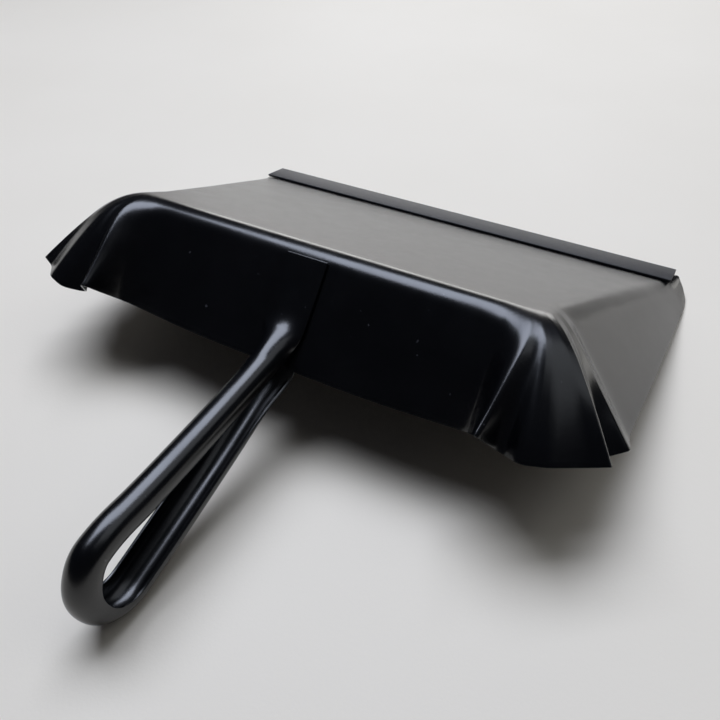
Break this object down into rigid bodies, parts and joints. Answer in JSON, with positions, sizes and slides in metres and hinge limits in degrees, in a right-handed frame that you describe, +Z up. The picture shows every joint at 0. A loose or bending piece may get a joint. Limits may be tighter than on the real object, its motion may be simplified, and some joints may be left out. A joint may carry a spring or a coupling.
{
  "type": "dust pan",
  "caption": "Black pressed steel dust pan with gathered back corners, a rolled loop handle and a rubber lip, lying face down on a table.",
  "frame": {"origin": "centre of the bounding box in plan, on the table that the pan lies on", "axes": "+Z up from the table, +Y from the handle towards the rubber lip, +X across the pan; the pan lies face down, so its floor faces up and slopes down towards +Y by 24.45 degrees"},
  "size_m": [0.2566, 0.2818, 0.0667],
  "materials": {
    "pan_enamel": "satin gloss black enamel on steel sheet",
    "handle_enamel": "satin gloss black enamel on steel strip",
    "lip_rubber": "matte black extruded rubber"
  },
  "bodies": {
    "root": {"pan_body": "pan_enamel", "handle": "handle_enamel", "rubber_lip": "lip_rubber"}
  },
  "joints": []
}
